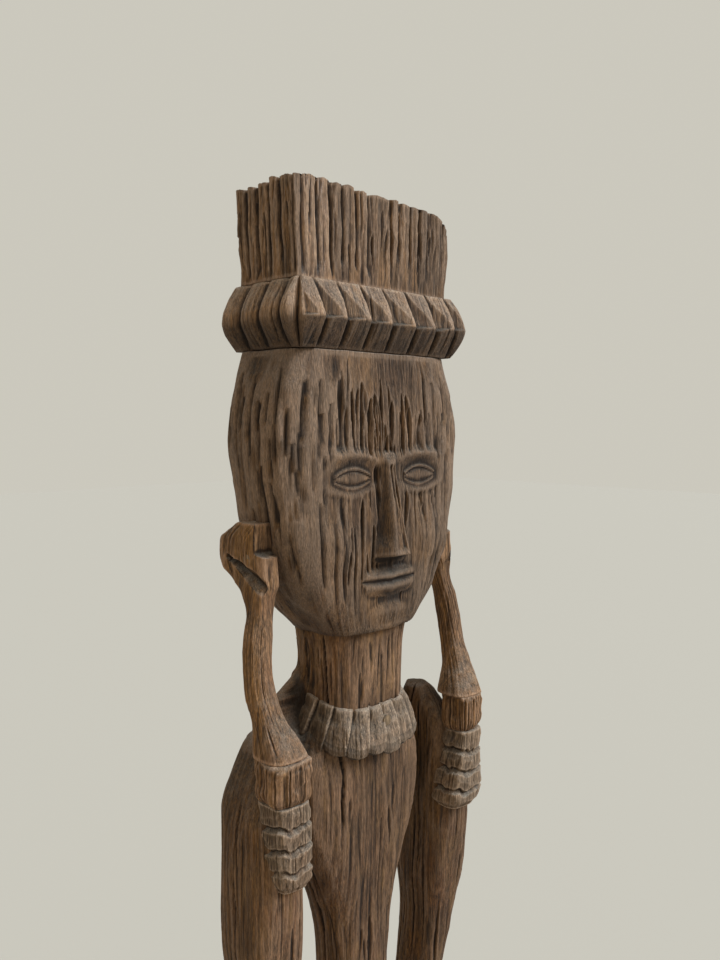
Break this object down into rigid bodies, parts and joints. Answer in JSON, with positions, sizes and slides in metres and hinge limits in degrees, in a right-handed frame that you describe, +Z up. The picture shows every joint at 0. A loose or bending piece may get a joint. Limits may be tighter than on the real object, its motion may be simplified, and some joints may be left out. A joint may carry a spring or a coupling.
{
  "type": "carved ancestor figure",
  "caption": "Standing carved hardwood ancestor figure with fluted crown, faceted headband, long ear pendants, leaf-edged collar, long arms and a plain plinth, pegged together from pieces.",
  "frame": {"origin": "middle of the plinth's underside, on the surface it stands on", "axes": "+Z up, -Y the way the figure faces, +X to the figure's own left"},
  "size_m": [0.14, 0.105, 0.6403],
  "materials": {
    "dusty_wood": "dry, dusty weathered hardwood with knife marks",
    "brown_wood": "dry reddish-brown weathered hardwood with open grain",
    "grey_wood": "greyed, dusty weathered hardwood",
    "plinth_wood": "dark rough-hewn hardwood",
    "peg_wood": "plain split hardwood peg"
  },
  "bodies": {
    "root": {"plinth": "plinth_wood", "body": "brown_wood", "neck_collar": "grey_wood", "collar_peg": "peg_wood", "head": "dusty_wood", "headband": "dusty_wood", "crown": "dusty_wood", "neck_dowel": "peg_wood", "ear_right": "brown_wood", "ear_cuff_right": "brown_wood", "ring_stack_right": "grey_wood", "arm_right": "brown_wood", "foot_dowel_right": "peg_wood", "crown_dowel_right": "peg_wood", "shoulder_peg_right": "peg_wood", "hip_peg_right": "peg_wood", "ear_peg_right": "peg_wood", "pendant_pin_right": "peg_wood", "stack_peg_right": "peg_wood", "ear_left": "brown_wood", "ear_cuff_left": "brown_wood", "ring_stack_left": "grey_wood", "arm_left": "brown_wood", "foot_dowel_left": "peg_wood", "crown_dowel_left": "peg_wood", "shoulder_peg_left": "peg_wood", "hip_peg_left": "peg_wood", "ear_peg_left": "peg_wood", "pendant_pin_left": "peg_wood", "stack_peg_left": "peg_wood"}
  },
  "joints": []
}
